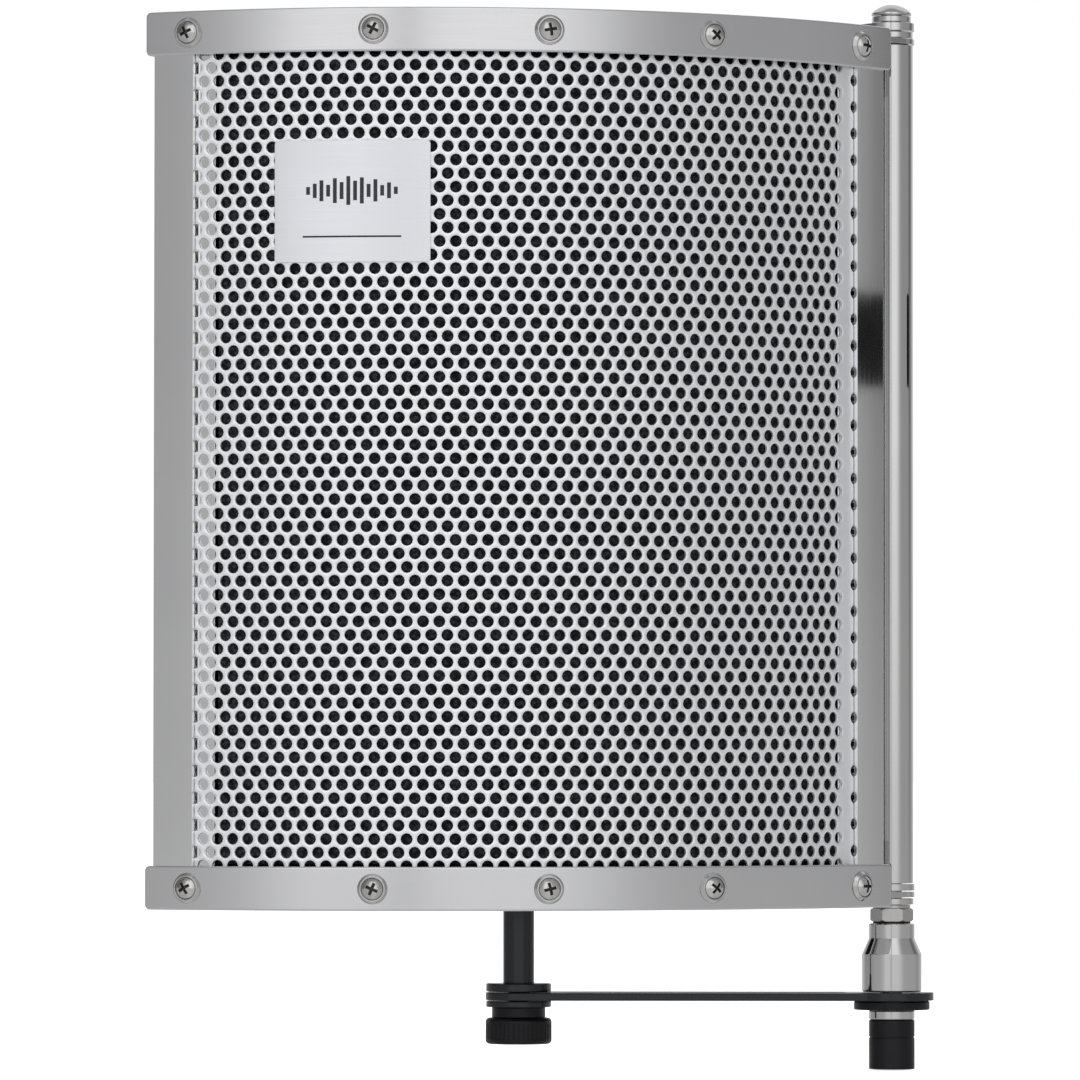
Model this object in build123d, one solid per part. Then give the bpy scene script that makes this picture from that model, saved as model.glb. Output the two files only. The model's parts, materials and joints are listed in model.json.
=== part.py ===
from build123d import *
import math
import os

# Microphone isolation shield: two curved, perforated and foam-lined leaves that fold like a
# book on a chrome spine post, with a slotted arm and a sliding mic post between them.
# Origin: post axis, at the bottom face of the stand socket. +Z up, the arm points to -X,
# the front leaf lies on the -Y side and the rear leaf is its mirror image in the XZ plane.

# ---- leaf: an arc in plan, built about its own centre and then moved to the post frame ----
LEAF_CENTRE_X = -182.4
LEAF_CENTRE_Y = 111.7
LEAF_BOTTOM_Z = 64.0
LEAF_TOP_Z = 408.0
LEAF_MID_ANGLE = 12.5  # degrees from -Y towards +X
RAIL_HALF_ANGLE = 40.9
BAR_OUTER_ANGLE = 40.2  # outer edge of a side bar, measured from the middle of the leaf

RAIL_OUTER_R = 226.0
RAIL_INNER_R = 200.0
RAIL_WALL = 1.8
RAIL_HEIGHT = 16.8
RAIL_CORNER_R = 2.0
RAIL_EDGE_R = 0.7

FIT_GAP = 0.2
BAR_WIDTH = 16.8
BAR_BOX_WIDTH = 10.0
BAR_WALL = 1.6
BAR_LIP_REACH = 8.0

SHEET_OUTER_R = 222.2
SHEET_THICKNESS = 1.2
FOAM_FACE_R = 192.0  # tips of the foam profile, proud of the frame
STRIP_THICKNESS = 3.0
STRIP_HEIGHT = 9.0

# ---- rail screws with cup washers ----
SCREW_ANGLES = (-36.2, -17.5, -0.4, 16.7, 36.0)
SCREW_HEAD_R = 4.1
SCREW_HEAD_RISE = 1.9
SCREW_SHANK_R = 1.8
SCREW_LENGTH = 9.0
RECESS_SPAN = 4.8
RECESS_WIDTH = 1.1
RECESS_DEPTH = 1.5
CUP_R = 5.8
CUP_HEIGHT = 1.6

# ---- label plate on the front leaf ----
PLATE_WIDTH = 60.0
PLATE_HEIGHT = 46.5
PLATE_ANGLE = -7.2
PLATE_Z = 334.2
PLATE_THICKNESS = 0.8
PLATE_CORNER_R = 1.5

# ---- spine post ----
ROD_R = 4.0
ROD_FIT = 0.06
SLEEVE_R = 8.45
SLEEVE_BORE_R = 6.9
SLEEVE_BOTTOM_Z = 73.0
SLEEVE_TOP_Z = 402.7
TOP_Z = 419.0
DOME_R = 7.85
DOME_BOTTOM_Z = 414.5
DOME_RIM_Z = 415.6
ROD_IN_DOME = 1.6

# ---- hinge lugs ----
EYE_R = 9.0
LUG_TAB_THICKNESS = 2.2
LUG_TAB_HEIGHT = 22.0
LUG_INSET = 3.0
FRONT_EYE_TOP = (403.1, 405.2)
FRONT_EYE_BOTTOM = (67.5, 69.7)
REAR_EYE_TOP = (408.4, 411.5)
REAR_EYE_BOTTOM = (70.1, 72.7)
RIVET_R = 2.6

# ---- stand socket, lock plate and coupling, from the bottom up ----
SOCKET_R = 9.0
SOCKET_TOP_Z = 19.4
SOCKET_THREAD_R = 7.45
SOCKET_DEPTH = 15.0
SOCKET_GROOVE_Z = 12.6
CLAMP_RING_Z = (19.6, 23.0)
LOCK_PLATE_R = 14.9
LOCK_PLATE_Z = (23.3, 26.7)
FINGER_R = 9.0
FINGER_DEPTH = 1.6
COUPLING_BOTTOM_Z = 30.4
COUPLING_R = 11.75
COUPLING_CONE_Z = (45.2, 51.4)
COUPLING_NECK_R = 9.0
COUPLING_TOP_Z = 57.2
NUT_Z = (58.0, 63.1)
NUT_FLATS = 15.0

# ---- plain rings on the tie rod: radius, bottom and top ----
RING_BORE_R = ROD_R + 0.1
RING_EDGE_R = 0.3
NECK_WASHER = (7.4, 57.25, 57.95)
LOWER_SPACER = (7.4, 63.2, 64.4)
LOWER_WASHER = (8.6, 64.6, 67.1)
MIDDLE_WASHER = (8.4, 405.6, 408.0)
UPPER_WASHER = (7.7, 411.9, 414.2)

# ---- mic arm ----
ARM_Z = (27.0, 30.1)
ARM_WIDTH = 26.0
ARM_DISC_R = 16.5
ARM_TIP_X = -159.7
SLOT_WIDTH = 9.0
SLOT_START_X = -17.5

# ---- sliding mic post ----
MIC_X = -146.7
FLANGE_R = 12.8
FLANGE_Z = (30.4, 33.6)
CLAMP_STUD_R = 4.0
MIC_POST_R = 6.1
MIC_POST_TOP_Z = 160.0
MIC_THREAD_R = 7.94
MIC_THREAD_LENGTH = 14.0
MIC_THREAD_NECK_R = 7.3
JAM_NUT_FLATS = 22.0
JAM_NUT_HEIGHT = 5.0
LOWER_WASHER_Z = (24.3, 26.7)
KNOB_NECK_R = 10.5
KNOB_NECK_Z = (20.3, 24.1)
KNOB_R = 13.0
KNOB_Z = (9.8, 20.1)
KNOB_GROOVES = 40


def at(radius, angle):
    """The point of a leaf's plan at a radius and an angle from the middle of the leaf."""
    a = math.radians(LEAF_MID_ANGLE + angle)
    return (radius * math.sin(a), -radius * math.cos(a))


def arc_block(r_in, r_out, a0, a1, z0, z1):
    """A block that is bent round the leaf's centre."""
    mid = (a0 + a1) / 2
    outline = [
        ThreePointArc(at(r_out, a0), at(r_out, mid), at(r_out, a1)),
        Line(at(r_out, a1), at(r_in, a1)),
        ThreePointArc(at(r_in, a1), at(r_in, mid), at(r_in, a0)),
        Line(at(r_in, a0), at(r_out, a0)),
    ]
    return Pos(0, 0, z0) * extrude(make_face(outline), z1 - z0)


def degrees_for(length, radius):
    """The angle that an arc length takes at a radius."""
    return math.degrees(length / radius)


def disc(radius, z0, z1, bore=0.0, edge=0.0):
    """A turned disc or ring on the post axis, with an optional edge rounding."""
    body = Pos(0, 0, (z0 + z1) / 2) * Cylinder(radius, z1 - z0)
    if edge:
        rims = [e for e in body.edges().filter_by(GeomType.CIRCLE)]
        body = fillet(rims, edge)
    if bore:
        body -= Pos(0, 0, (z0 + z1) / 2) * Cylinder(bore, z1 - z0 + 2)
    return body


def to_post(shape):
    """Moves a piece of the front leaf from the leaf's centre to the post frame."""
    return Pos(LEAF_CENTRE_X, LEAF_CENTRE_Y, 0) * shape


def save(name, shape):
    """Writes one node."""
    export_step(shape, f"parts/{name}.step")


# -------------------------------------------------------------------------- leaf pieces
SCREW_Z = (LEAF_TOP_Z - RAIL_HEIGHT / 2, LEAF_BOTTOM_Z + RAIL_HEIGHT / 2)


def screw_holes(radius_in, radius_out, hole_r, angles=SCREW_ANGLES):
    """The holes that the rail screws need through everything between two radii."""
    length = radius_out - radius_in + 2
    drill = Rot(90, 0, 0) * Cylinder(hole_r, length)
    holes = []
    for angle in angles:
        for z in SCREW_Z:
            turn = Rot(0, 0, LEAF_MID_ANGLE + angle)
            holes.append(turn * Pos(0, -(radius_in + radius_out) / 2, z) * drill)
    return holes


def rail(top):
    """A U-channel that caps the sheet, foam and side bars, closed at its free end."""
    z0 = LEAF_TOP_Z - RAIL_HEIGHT if top else LEAF_BOTTOM_Z
    z1 = z0 + RAIL_HEIGHT
    body = arc_block(RAIL_INNER_R, RAIL_OUTER_R, -RAIL_HALF_ANGLE, RAIL_HALF_ANGLE, z0, z1)
    corners = [e for e in body.edges().filter_by(GeomType.LINE) if abs(e.tangent_at(0.5).Z) < 0.1]
    body = fillet(corners, RAIL_CORNER_R)
    face_arcs = []
    for edge in body.edges().filter_by(GeomType.CIRCLE):
        if abs(edge.radius - RAIL_OUTER_R) < 0.01 and edge.length > 100:
            face_arcs.append(edge)
    body = fillet(face_arcs, RAIL_EDGE_R)
    low = z0 - 1 if top else z0 + RAIL_WALL
    high = z1 - RAIL_WALL if top else z1 + 1
    end_wall = degrees_for(RAIL_WALL, RAIL_OUTER_R)
    body -= arc_block(
        RAIL_INNER_R + RAIL_WALL,
        RAIL_OUTER_R - RAIL_WALL,
        -RAIL_HALF_ANGLE + end_wall,
        RAIL_HALF_ANGLE + 1,
        low,
        high,
    )
    for hole in screw_holes(RAIL_OUTER_R - 3, RAIL_OUTER_R, SCREW_SHANK_R + 0.2):
        body -= hole
    return body


BAR_FACE_R = RAIL_OUTER_R - RAIL_WALL - FIT_GAP
BAR_BACK_R = RAIL_INNER_R + RAIL_WALL + FIT_GAP
LIP_OUTER_R = SHEET_OUTER_R - SHEET_THICKNESS - FIT_GAP
BAR_Z = (LEAF_BOTTOM_Z + RAIL_WALL + FIT_GAP, LEAF_TOP_Z - RAIL_WALL - FIT_GAP)
BAR_INNER_ANGLE = BAR_OUTER_ANGLE - degrees_for(BAR_WIDTH, BAR_FACE_R)
BOX_INNER_ANGLE = BAR_OUTER_ANGLE - degrees_for(BAR_BOX_WIDTH, BAR_FACE_R)
LIP_INNER_ANGLE = BAR_INNER_ANGLE - degrees_for(BAR_LIP_REACH, BAR_FACE_R)


def side_bar(sign):
    """An extruded side bar: a hollow box with a face strap, a sheet lip and a back strap."""

    def piece(r_in, r_out, inner, outer):
        first, last = sorted((sign * inner, sign * outer))
        return arc_block(r_in, r_out, first, last, BAR_Z[0], BAR_Z[1])

    wall = degrees_for(BAR_WALL, BAR_FACE_R)
    body = piece(BAR_BACK_R, BAR_FACE_R, BOX_INNER_ANGLE, BAR_OUTER_ANGLE)
    body += piece(BAR_FACE_R - BAR_WALL, BAR_FACE_R, BAR_INNER_ANGLE, BAR_OUTER_ANGLE)
    body += piece(LIP_OUTER_R - BAR_WALL, LIP_OUTER_R, LIP_INNER_ANGLE, BAR_OUTER_ANGLE)
    body += piece(BAR_BACK_R, BAR_BACK_R + BAR_WALL, BAR_INNER_ANGLE, BAR_OUTER_ANGLE)
    hollow = (BAR_BACK_R + BAR_WALL, LIP_OUTER_R - BAR_WALL)
    body -= piece(hollow[0], hollow[1], BOX_INNER_ANGLE + wall, BAR_OUTER_ANGLE - wall)
    ends = (SCREW_ANGLES[0], SCREW_ANGLES[-1])
    for hole in screw_holes(LIP_OUTER_R - 4, BAR_FACE_R, SCREW_SHANK_R + 0.1, ends):
        body -= hole
    return body


FOAM_BACK_R = LIP_OUTER_R - BAR_WALL - FIT_GAP


def perforated_sheet():
    """The outer sheet, its edges held in the rails and the side bars; plain here."""
    edge = BOX_INNER_ANGLE - degrees_for(0.4, SHEET_OUTER_R)
    sheet = arc_block(
        SHEET_OUTER_R - SHEET_THICKNESS, SHEET_OUTER_R, -edge, edge, BAR_Z[0] + FIT_GAP, BAR_Z[1] - FIT_GAP
    )
    for hole in screw_holes(SHEET_OUTER_R - 2, SHEET_OUTER_R, SCREW_SHANK_R + 0.4):
        sheet -= hole
    return sheet


def clamp_strip(top):
    """The hidden strip behind the sheet that the middle screws of a rail pull against."""
    edge = LIP_INNER_ANGLE - degrees_for(0.5, LIP_OUTER_R)
    z = SCREW_Z[0] if top else SCREW_Z[1]
    strip = arc_block(
        LIP_OUTER_R - STRIP_THICKNESS, LIP_OUTER_R, -edge, edge, z - STRIP_HEIGHT / 2, z + STRIP_HEIGHT / 2
    )
    for hole in screw_holes(LIP_OUTER_R - 5, LIP_OUTER_R, SCREW_SHANK_R + 0.1, SCREW_ANGLES[1:-1]):
        strip -= hole
    return strip


FOAM_INSET = 1.0


def foam_pad():
    """The foam liner: a slab inside the frame and a thicker face that stands out of it."""
    edge = BOX_INNER_ANGLE - degrees_for(0.6, BAR_BACK_R)
    slab_back = FOAM_BACK_R - STRIP_THICKNESS
    slab = arc_block(BAR_BACK_R + BAR_WALL + 0.3, slab_back, -edge, edge, BAR_Z[0] + 0.5, BAR_Z[1] - 0.5)
    core_z = (LEAF_BOTTOM_Z + RAIL_HEIGHT + FOAM_INSET, LEAF_TOP_Z - RAIL_HEIGHT - FOAM_INSET)
    core = LIP_INNER_ANGLE - 0.3
    slab += arc_block(slab_back - 1, FOAM_BACK_R + BAR_WALL, -core, core, core_z[0], core_z[1])
    face = BAR_INNER_ANGLE - degrees_for(FOAM_INSET, FOAM_FACE_R)
    slab += arc_block(FOAM_FACE_R, BAR_BACK_R + BAR_WALL + 1, -face, face, core_z[0], core_z[1])
    return slab


def screw(recess_turn):
    """A cross-recess screw with a low domed head, its axis along -Y and its seat at y = 0."""
    dome_r = (SCREW_HEAD_R**2 + SCREW_HEAD_RISE**2) / (2 * SCREW_HEAD_RISE)
    profile = [
        Line((0, -SCREW_LENGTH), (SCREW_SHANK_R, -SCREW_LENGTH)),
        Line((SCREW_SHANK_R, -SCREW_LENGTH), (SCREW_SHANK_R, 0.1)),
        Line((SCREW_SHANK_R, 0.1), (SCREW_HEAD_R, 1.0)),
        Line((SCREW_HEAD_R, 1.0), (SCREW_HEAD_R, 1.3)),
        RadiusArc((SCREW_HEAD_R, 1.3), (0, 1.3 + SCREW_HEAD_RISE), -dome_r),
        Line((0, 1.3 + SCREW_HEAD_RISE), (0, -SCREW_LENGTH)),
    ]
    body = revolve(make_face(profile), Axis.Y)
    top = 1.3 + SCREW_HEAD_RISE
    for quarter in (0, 90):
        arm = Box(RECESS_SPAN, 2 * RECESS_DEPTH, RECESS_WIDTH)
        body -= Pos(0, top, 0) * Rot(0, quarter + recess_turn, 0) * arm
    return Rot(180, 0, 0) * body


def cup_washer():
    """A pressed cup washer, its axis along -Y and its base at y = 0."""
    profile = Polyline(
        (SCREW_SHANK_R + 0.15, 0.05),
        (CUP_R, 0.05),
        (CUP_R, 0.35),
        (SCREW_HEAD_R + 0.75, CUP_HEIGHT),
        (SCREW_HEAD_R + 0.25, CUP_HEIGHT),
        (SCREW_HEAD_R + 0.25, 0.95),
        (SCREW_SHANK_R + 0.35, 0.15),
        close=True,
    )
    return Rot(180, 0, 0) * revolve(make_face(profile), Axis.Y)


def around_rails(make):
    """Places one fastener piece at each screw position of a leaf."""
    pieces = []
    for row, z in enumerate(SCREW_Z):
        for index, angle in enumerate(SCREW_ANGLES):
            turn = Rot(0, 0, LEAF_MID_ANGLE + angle)
            piece = make(index + row * len(SCREW_ANGLES))
            pieces.append(to_post(turn * Pos(0, -RAIL_OUTER_R, z) * piece))
    return pieces


def label_plate():
    """A thin blank plate, rolled to the sheet's curve, with small rounded corners."""
    half = degrees_for(PLATE_WIDTH / 2, SHEET_OUTER_R)
    first = PLATE_ANGLE - LEAF_MID_ANGLE - half
    z0 = PLATE_Z - PLATE_HEIGHT / 2
    r_in = SHEET_OUTER_R + 0.05
    plate = arc_block(r_in, r_in + PLATE_THICKNESS, first, first + 2 * half, z0, z0 + PLATE_HEIGHT)
    corners = [e for e in plate.edges().filter_by(GeomType.LINE) if e.length < 2]
    return fillet(corners, PLATE_CORNER_R)


TAB_ANGLE = BAR_OUTER_ANGLE + degrees_for(0.15, RAIL_OUTER_R)


def lug(eye_z, tab_z, mirrored=False):
    """A hinge lug: an eye round the tie rod, a flat neck and a tab on the side bar's end."""
    tab_end = TAB_ANGLE + degrees_for(LUG_TAB_THICKNESS, RAIL_OUTER_R)
    r_in = BAR_BACK_R + LUG_INSET
    r_out = BAR_FACE_R - LUG_INSET
    tab = to_post(arc_block(r_in, r_out, TAB_ANGLE, tab_end, tab_z[0], tab_z[1]))
    corners = []
    for radius in (r_in, r_out):
        x, y = at(radius, tab_end - 0.05)
        corners.append((x + LEAF_CENTRE_X, y + LEAF_CENTRE_Y))
    return eye_and_neck(corners, eye_z) + tab


def eye_and_neck(corners, eye_z):
    """The flat part of a lug, from two corners at the leaf to the round eye."""
    (x0, y0), (x1, y1) = corners
    across = math.hypot(x1 - x0, y1 - y0)
    ux, uy = (x1 - x0) / across, (y1 - y0) / across
    neck = make_face(
        Polyline((x0, y0), (x1, y1), (ux * EYE_R * 0.98, uy * EYE_R * 0.98),
                 (-ux * EYE_R * 0.98, -uy * EYE_R * 0.98), close=True)
    )
    height = eye_z[1] - eye_z[0]
    plate = Pos(0, 0, eye_z[0]) * extrude(neck, height)
    plate += Pos(0, 0, eye_z[0] + height / 2) * Cylinder(EYE_R, height)
    return plate - Pos(0, 0, eye_z[0] + height / 2) * Cylinder(ROD_R + ROD_FIT, height + 2)


STRAP_BACK_ANGLE = RAIL_HALF_ANGLE - 5.0


def top_strap_lug(eye_z):
    """The rear leaf's upper lug: a strap that lies on the rail, riveted down, with the eye."""
    r_in = BAR_BACK_R + LUG_INSET
    r_out = BAR_FACE_R - LUG_INSET
    z0 = LEAF_TOP_Z + 0.1
    strap = to_post(arc_block(r_in, r_out, STRAP_BACK_ANGLE, RAIL_HALF_ANGLE, z0, eye_z[1]))
    corners = []
    for radius in (r_in, r_out):
        x, y = at(radius, RAIL_HALF_ANGLE - 0.05)
        corners.append((x + LEAF_CENTRE_X, y + LEAF_CENTRE_Y))
    return eye_and_neck(corners, eye_z) + strap


def strap_rivets(z):
    """The two low domed rivets that hold the strap down."""
    rivets = []
    for radius in (BAR_BACK_R + 7, BAR_FACE_R - 7):
        x, y = at(radius, RAIL_HALF_ANGLE - 2.6)
        head = Cylinder(RIVET_R, 1.0)
        head = fillet(head.edges().group_by(Axis.Z)[-1], 0.7)
        rivets.append(Pos(x + LEAF_CENTRE_X, y + LEAF_CENTRE_Y, z + 0.55) * head)
    return Compound(children=rivets)


def build_leaf(side):
    """All the pieces of one leaf; the rear leaf is mirrored in the XZ plane."""
    pieces = {
        "perforated_sheet": to_post(perforated_sheet()),
        "top_rail": to_post(rail(True)),
        "bottom_rail": to_post(rail(False)),
        "hinge_side_bar": to_post(side_bar(1)),
        "free_side_bar": to_post(side_bar(-1)),
        "foam_pad": to_post(foam_pad()),
        "top_clamp_strip": to_post(clamp_strip(True)),
        "bottom_clamp_strip": to_post(clamp_strip(False)),
        "rail_screws": Compound(children=around_rails(lambda i: screw(25 + 37 * i))),
        "cup_washers": Compound(children=around_rails(lambda i: cup_washer())),
    }
    if side == "front":
        tab_top = FRONT_EYE_TOP[1]
        pieces["top_lug"] = lug(FRONT_EYE_TOP, (tab_top - LUG_TAB_HEIGHT, tab_top))
        tab_low = FRONT_EYE_BOTTOM[0]
        pieces["bottom_lug"] = lug(FRONT_EYE_BOTTOM, (tab_low, tab_low + LUG_TAB_HEIGHT))
        pieces["label_plate"] = to_post(label_plate())
    else:
        tab_low = FRONT_EYE_BOTTOM[0]
        pieces["top_lug"] = top_strap_lug(REAR_EYE_TOP)
        pieces["top_lug_rivets"] = strap_rivets(REAR_EYE_TOP[1])
        pieces["bottom_lug"] = lug(REAR_EYE_BOTTOM, (tab_low, tab_low + LUG_TAB_HEIGHT))
    for name, shape in pieces.items():
        if side == "rear":
            shape = mirror(shape, about=Plane.XZ)
        save(f"{side}_{name}", shape)


# -------------------------------------------------------------------------- spine post
def dome_nut():
    """The capped nut on top of the tie rod, with a low domed top."""
    rise = TOP_Z - DOME_RIM_Z
    dome_r = (DOME_R**2 + rise**2) / (2 * rise)
    profile = [
        Line((0, DOME_BOTTOM_Z), (DOME_R - 0.4, DOME_BOTTOM_Z)),
        Line((DOME_R - 0.4, DOME_BOTTOM_Z), (DOME_R, DOME_BOTTOM_Z + 0.4)),
        Line((DOME_R, DOME_BOTTOM_Z + 0.4), (DOME_R, DOME_RIM_Z)),
        RadiusArc((DOME_R, DOME_RIM_Z), (0, TOP_Z), -dome_r),
        Line((0, TOP_Z), (0, DOME_BOTTOM_Z)),
    ]
    body = revolve(Plane.XZ * make_face(profile), Axis.Z)
    return body - Pos(0, 0, DOME_BOTTOM_Z) * Cylinder(ROD_R + ROD_FIT, 2 * ROD_IN_DOME + 0.4)


def hex_nut(flats, z0, z1, bore):
    """A hex nut with its corners chamfered on both faces."""
    height = z1 - z0
    prism = extrude(RegularPolygon(flats / 2, 6, major_radius=False), height)
    crown = Pos(0, 0, height / 2) * Cylinder(flats / 2 * 1.13, height)
    crown = chamfer(crown.edges().filter_by(GeomType.CIRCLE), 0.6)
    nut = (prism & crown) - Pos(0, 0, height / 2) * Cylinder(bore, height + 2)
    return Pos(0, 0, z0) * nut


def coupling():
    """The chrome reducer above the arm: a wide barrel, a cone and a narrow neck."""
    outline = Polyline(
        (RING_BORE_R, COUPLING_BOTTOM_Z),
        (COUPLING_R - 0.5, COUPLING_BOTTOM_Z),
        (COUPLING_R, COUPLING_BOTTOM_Z + 0.5),
        (COUPLING_R, COUPLING_CONE_Z[0]),
        (COUPLING_NECK_R, COUPLING_CONE_Z[1]),
        (COUPLING_NECK_R, COUPLING_TOP_Z - 0.4),
        (COUPLING_NECK_R - 0.4, COUPLING_TOP_Z),
        (RING_BORE_R, COUPLING_TOP_Z),
        close=True,
    )
    return revolve(make_face(Plane.XZ * outline), Axis.Z)


def stand_socket():
    """The socket that screws onto a microphone stand, with a shallow groove round it."""
    body = disc(SOCKET_R, 0.0, SOCKET_TOP_Z, edge=0.4)
    body -= Pos(0, 0, SOCKET_DEPTH / 2 - 0.5) * Cylinder(SOCKET_THREAD_R, SOCKET_DEPTH + 1)
    groove = Pos(0, 0, SOCKET_GROOVE_Z) * (Cylinder(SOCKET_R + 1, 0.6) - Cylinder(SOCKET_R - 0.3, 0.6))
    return body - groove


def ring(size, edge=0.0):
    """A plain ring round the tie rod, from its radius, bottom and top."""
    return disc(size[0], size[1], size[2], RING_BORE_R, edge)


def build_post():
    """The fixed pieces of the spine, from the socket up."""
    rod_bottom = SOCKET_TOP_Z + FIT_GAP
    save("stand_socket", stand_socket())
    save("clamp_ring", ring((SOCKET_R,) + CLAMP_RING_Z, 0.4))
    save("tie_rod", disc(ROD_R, rod_bottom, DOME_BOTTOM_Z + ROD_IN_DOME))
    save("coupling", coupling())
    save("neck_washer", ring(NECK_WASHER))
    save("hex_nut", hex_nut(NUT_FLATS, NUT_Z[0], NUT_Z[1], RING_BORE_R))
    save("lower_spacer", ring(LOWER_SPACER))
    save("lower_washer", ring(LOWER_WASHER, RING_EDGE_R))
    save("hinge_sleeve", disc(SLEEVE_R, SLEEVE_BOTTOM_Z, SLEEVE_TOP_Z, SLEEVE_BORE_R))
    save("middle_washer", ring(MIDDLE_WASHER, RING_EDGE_R))
    save("upper_washer", ring(UPPER_WASHER, RING_EDGE_R))
    save("dome_nut", dome_nut())


# -------------------------------------------------------------------------- arm and mic post
def lock_plate():
    """The round plate that is turned to lock the arm, with two finger scallops."""
    z0, z1 = LOCK_PLATE_Z
    scallop_x = LOCK_PLATE_R + FINGER_R - FINGER_DEPTH
    scallop = Pos(scallop_x, 0, (z0 + z1) / 2) * Cylinder(FINGER_R, z1 - z0 + 2)
    body = disc(LOCK_PLATE_R, z0, z1, ROD_R + ROD_FIT, 0.6)
    for side in (90, -90):
        body -= Rot(0, 0, side) * scallop
    return body


def mic_arm():
    """The flat slotted arm with a round end on the post axis."""
    z0, z1 = ARM_Z
    tip_centre = ARM_TIP_X + ARM_WIDTH / 2
    bar = Pos(tip_centre / 2, 0, 0) * Rectangle(-tip_centre, ARM_WIDTH)
    plan = Circle(ARM_DISC_R) + bar + Pos(tip_centre, 0, 0) * Circle(ARM_WIDTH / 2)
    slot_end = MIC_X - SLOT_WIDTH / 2 - 0.5
    slot_length = SLOT_START_X - slot_end
    slot = Pos((SLOT_START_X + slot_end) / 2, 0, 0) * SlotOverall(slot_length, SLOT_WIDTH)
    plan = plan - slot - Circle(ROD_R + ROD_FIT)
    body = Pos(0, 0, z0) * extrude(plan, z1 - z0)
    rims = [e for e in body.edges() if abs(e.center().Z - z0) < 0.01 or abs(e.center().Z - z1) < 0.01]
    outer = [e for e in rims if e.length > 30 and abs(e.center().Y) > SLOT_WIDTH]
    return chamfer(outer, 0.3)


def build_carriage():
    """The sliding carriage: flange, clamp stud, mic post, jam nut and the mic thread."""
    at_mic = Pos(MIC_X, 0, 0)
    flange = disc(FLANGE_R, FLANGE_Z[0], FLANGE_Z[1], 0.0, 0.4)
    stud_bottom = KNOB_Z[0] + 3
    flange += disc(CLAMP_STUD_R, stud_bottom, FLANGE_Z[0] + 0.5)
    save("carriage_flange", at_mic * flange)
    save("mic_post", at_mic * disc(MIC_POST_R, FLANGE_Z[1] + 0.05, MIC_POST_TOP_Z))
    nut_z = MIC_POST_TOP_Z + 0.05
    thread_z = nut_z + JAM_NUT_HEIGHT
    save("mic_jam_nut", at_mic * hex_nut(JAM_NUT_FLATS, nut_z, thread_z, MIC_THREAD_NECK_R + 0.1))
    thread = disc(MIC_THREAD_R, thread_z + 0.05, thread_z + MIC_THREAD_LENGTH)
    thread = chamfer(thread.edges().group_by(Axis.Z)[-1], 0.8)
    thread += disc(MIC_THREAD_NECK_R, nut_z, thread_z + 1.0)
    save("mic_thread", at_mic * thread)
    washer = disc(FLANGE_R, LOWER_WASHER_Z[0], LOWER_WASHER_Z[1], CLAMP_STUD_R + ROD_FIT, 0.4)
    save("lower_flange", at_mic * washer)
    neck = disc(KNOB_NECK_R, KNOB_NECK_Z[0], KNOB_NECK_Z[1], CLAMP_STUD_R + ROD_FIT)
    save("knob_neck", at_mic * neck)
    save("clamp_knob", at_mic * knob())


def knob():
    """The clamp knob under the arm, closed below, with fine grip grooves."""
    z0, z1 = KNOB_Z
    body = disc(KNOB_R, z0, z1, 0.0, 1.6)
    for index in range(KNOB_GROOVES):
        groove = Pos(KNOB_R + 0.25, 0, (z0 + z1) / 2) * Cylinder(0.5, z1 - z0 - 4.4)
        body -= Rot(0, 0, 360 / KNOB_GROOVES * index) * groove
    return body - Pos(0, 0, z0 + 2.5 + (z1 - z0) / 2) * Cylinder(CLAMP_STUD_R + ROD_FIT, z1 - z0)


os.makedirs("parts", exist_ok=True)
build_post()
save("lock_plate", lock_plate())
save("mic_arm", mic_arm())
build_carriage()
build_leaf("front")
build_leaf("rear")
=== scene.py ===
"""Looks of a folding microphone isolation shield: two perforated, foam-lined leaves on a post."""

import json
import logging
import math
from dataclasses import dataclass, field
from enum import Enum

import bmesh
import bpy
from mathutils import Matrix, Vector

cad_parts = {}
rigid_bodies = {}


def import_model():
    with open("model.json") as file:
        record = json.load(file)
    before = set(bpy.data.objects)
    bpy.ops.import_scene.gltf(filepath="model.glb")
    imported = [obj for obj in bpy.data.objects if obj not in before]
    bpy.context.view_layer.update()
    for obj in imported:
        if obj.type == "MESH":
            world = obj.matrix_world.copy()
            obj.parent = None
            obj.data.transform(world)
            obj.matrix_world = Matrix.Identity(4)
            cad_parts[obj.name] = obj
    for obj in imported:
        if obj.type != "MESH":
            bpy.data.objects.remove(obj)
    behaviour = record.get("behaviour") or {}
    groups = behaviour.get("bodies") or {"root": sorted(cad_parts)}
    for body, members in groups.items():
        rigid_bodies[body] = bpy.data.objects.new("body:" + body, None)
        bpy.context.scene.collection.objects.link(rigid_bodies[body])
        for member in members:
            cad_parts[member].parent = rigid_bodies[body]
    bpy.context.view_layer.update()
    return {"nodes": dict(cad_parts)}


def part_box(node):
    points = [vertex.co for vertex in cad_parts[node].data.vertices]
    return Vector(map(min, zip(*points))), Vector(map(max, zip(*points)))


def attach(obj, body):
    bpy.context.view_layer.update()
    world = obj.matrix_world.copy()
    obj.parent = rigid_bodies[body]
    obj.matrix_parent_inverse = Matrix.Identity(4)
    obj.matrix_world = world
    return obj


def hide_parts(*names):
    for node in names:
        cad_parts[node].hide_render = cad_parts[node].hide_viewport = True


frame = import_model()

MM = 0.001
Colour = tuple[float, float, float]
log = logging.getLogger("shield")


# ------------------------------------------------------------------ node groups for finishes
FLOAT = "NodeSocketFloat"
VECTOR = "NodeSocketVector"


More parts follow.
